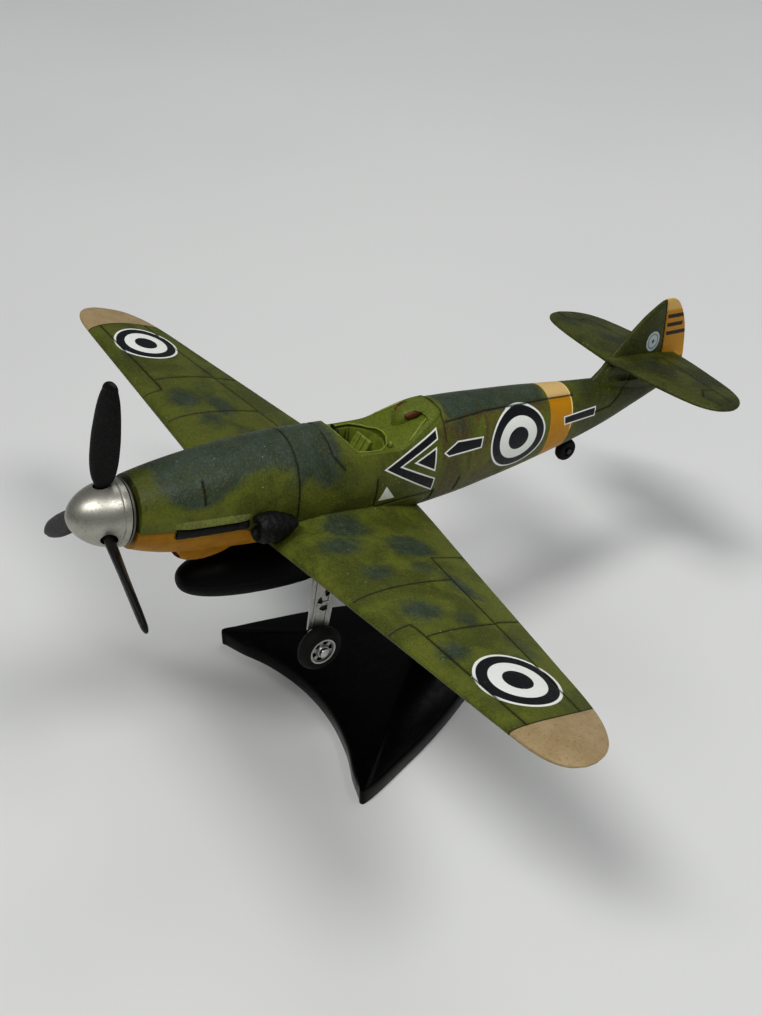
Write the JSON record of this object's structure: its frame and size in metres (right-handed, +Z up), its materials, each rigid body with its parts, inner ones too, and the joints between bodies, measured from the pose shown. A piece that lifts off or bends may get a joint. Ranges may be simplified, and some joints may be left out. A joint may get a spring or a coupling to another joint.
{
  "type": "model propeller aeroplane on a display stand",
  "caption": "Small low-wing propeller aeroplane model with open cockpit, fixed-down landing gear and belly tank, nose-up on a lift-off display stand with a swept base.",
  "frame": {"origin": "middle of the stand's flat underside, in the aeroplane's plane of symmetry", "axes": "+Z up, normal to the underside of the stand; -Y towards the aeroplane's nose; +X towards the aeroplane's port wing tip"},
  "size_m": [0.1142, 0.0991, 0.0613],
  "materials": {
    "olive_paint": "satin camouflage paint on cast metal",
    "yellow_paint": "satin",
    "dark_green_insert": "satin",
    "black_plastic": "satin black",
    "stand_black": "gloss",
    "silver": "worn silver",
    "steel": "bright",
    "brass": "satin",
    "tyre": "matte",
    "cockpit_green": "satin",
    "headrest_brown": "satin",
    "panel_black": "matte"
  },
  "bodies": {
    "stand": {"stand_base": "stand_black", "stand_stem": "stand_black", "stem_screw": "steel"},
    "aeroplane": {"fuselage_shell": "olive_paint", "chin_cowl": "yellow_paint", "exhaust_port": "black_plastic", "exhaust_starboard": "black_plastic", "belly_pan": "dark_green_insert", "belly_screw": "steel", "wing": "olive_paint", "radiator_port": "olive_paint", "radiator_starboard": "olive_paint", "tailplane": "olive_paint", "supercharger_intake": "black_plastic", "drop_tank": "black_plastic", "tank_rack": "black_plastic", "cockpit_tub": "cockpit_green", "pilot_seat": "cockpit_green", "instrument_panel": "panel_black", "gunsight": "panel_black", "headrest": "headrest_brown", "gear_leg_port": "silver", "gear_leg_starboard": "silver", "gear_door_port": "silver", "gear_door_starboard": "silver", "axle_port": "steel", "axle_starboard": "steel", "tail_wheel_strut": "dark_green_insert", "tail_wheel_axle": "steel", "shaft_bushing": "brass"},
    "propeller_unit": {"spinner": "silver", "spinner_backplate": "silver", "propeller": "black_plastic", "prop_shaft": "steel"},
    "main_wheel_port": {"wheel_hub_port": "silver", "wheel_tyre_port": "tyre"},
    "main_wheel_starboard": {"wheel_hub_starboard": "silver", "wheel_tyre_starboard": "tyre"},
    "tail_wheel_unit": {"tail_wheel": "tyre"}
  },
  "joints": [
    {"name": "aeroplane_lift", "type": "slide", "parent": "stand", "child": "aeroplane", "axis": [0, 0.1994, 0.9799], "range_m": [0, 0.02]},
    {"name": "propeller_spin", "type": "hinge", "parent": "aeroplane", "child": "propeller_unit", "pos_m": [0, -0.03695, 0.04485], "axis": [0, -0.9636, 0.2672], "continuous": true},
    {"name": "main_wheel_port_spin", "type": "hinge", "parent": "aeroplane", "child": "main_wheel_port", "pos_m": [0.0126, -0.01966, 0.02398], "axis": [1, 0, 0], "continuous": true},
    {"name": "main_wheel_starboard_spin", "type": "hinge", "parent": "aeroplane", "child": "main_wheel_starboard", "pos_m": [-0.0126, -0.01966, 0.02398], "axis": [1, 0, 0], "continuous": true},
    {"name": "tail_wheel_spin", "type": "hinge", "parent": "aeroplane", "child": "tail_wheel_unit", "pos_m": [0, 0.03193, 0.02777], "axis": [1, 0, 0], "continuous": true}
  ]
}
